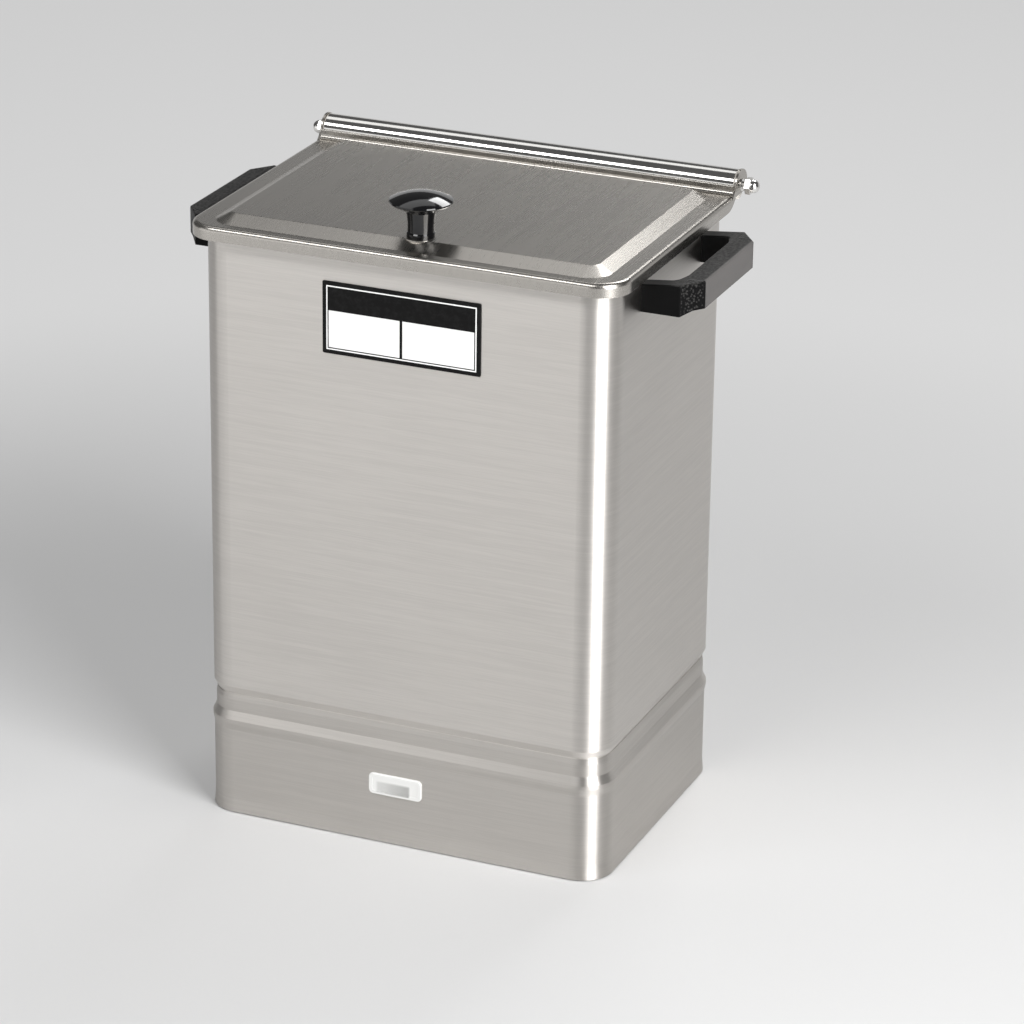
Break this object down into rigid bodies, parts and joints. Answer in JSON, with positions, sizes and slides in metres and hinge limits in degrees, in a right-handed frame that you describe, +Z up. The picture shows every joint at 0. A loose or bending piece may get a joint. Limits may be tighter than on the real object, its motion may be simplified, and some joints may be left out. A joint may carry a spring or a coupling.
{
  "type": "hot pack heater",
  "caption": "Free-standing stainless steel water tank heater for therapy hot packs, with a hinged drawn lid, moulded side handles, a wire rack and a base holding the heater controls.",
  "frame": {"origin": "middle of the whole footprint, handles and hinge included, on the surface that the feet stand on", "axes": "+Z up, -Y to the front with the lamp and the plate, +X to the right of someone who faces the front"},
  "size_m": [0.3376, 0.2134, 0.419],
  "materials": {
    "tank_steel": "brushed sheet, satin",
    "base_steel": "brushed sheet, satin",
    "lid_steel": "brushed sheet, satin",
    "polished_steel": "mirror polished tube",
    "galvanised": "plain zinc-coated sheet",
    "screw_steel": "plain steel",
    "nut_chrome": "plated",
    "wire_steel": "drawn wire",
    "foot_rubber": "moulded rubber",
    "seal_rubber": "soft seal",
    "gland_nylon": "moulded nylon",
    "phenolic": "moulded phenolic, matt",
    "phenolic_gloss": "moulded phenolic, glossy",
    "plate_face": "bare plate",
    "lamp_lens": "lit lens",
    "lamp_body": "moulded",
    "element_sheath": "oxidised sheath",
    "brass": "turned",
    "copper": "copper tube and bulb"
  },
  "bodies": {
    "cabinet": {"tank": "tank_steel", "base_skirt": "base_steel", "base_plate": "galvanised", "plate_brackets": "galvanised", "plate_screws": "screw_steel", "feet": "foot_rubber", "foot_screws": "screw_steel", "foot_nuts": "screw_steel", "cord_gland": "gland_nylon", "handle_right": "phenolic", "handle_left": "phenolic", "handle_screws": "screw_steel", "handle_washers": "seal_rubber", "front_plate": "plate_face", "lamp_lens": "lamp_lens", "lamp_body": "lamp_body", "hinge_tube": "polished_steel", "hinge_bushes": "gland_nylon", "heating_element": "element_sheath", "element_fittings": "brass", "element_gaskets": "seal_rubber", "element_nuts": "brass", "element_terminals": "screw_steel", "thermostat_body": "lamp_body", "thermostat_bracket": "galvanised", "thermostat_bulb": "copper", "bulb_clips": "galvanised", "terminal_block": "lamp_body", "terminal_screws": "brass", "thermal_cutout": "lamp_body", "earth_stud": "brass", "rack_floor": "wire_steel", "rack_sides": "wire_steel"},
    "lid": {"lid": "lid_steel", "lid_knob": "phenolic_gloss", "knob_screw": "screw_steel", "hinge_rod": "screw_steel", "acorn_nuts": "nut_chrome", "hinge_washers": "screw_steel"},
    "spindle": {"thermostat_spindle": "brass"}
  },
  "joints": [
    {"name": "lid_hinge", "type": "hinge", "parent": "cabinet", "child": "lid", "pos_m": [0, 0.0967, 0.3912], "axis": [-1, 0, 0], "range_deg": [0, 105]},
    {"name": "thermostat_turn", "type": "hinge", "parent": "cabinet", "child": "spindle", "pos_m": [0.058, 0.0207, 0.02], "axis": [0, 0, 1], "range_deg": [0, 270]}
  ]
}
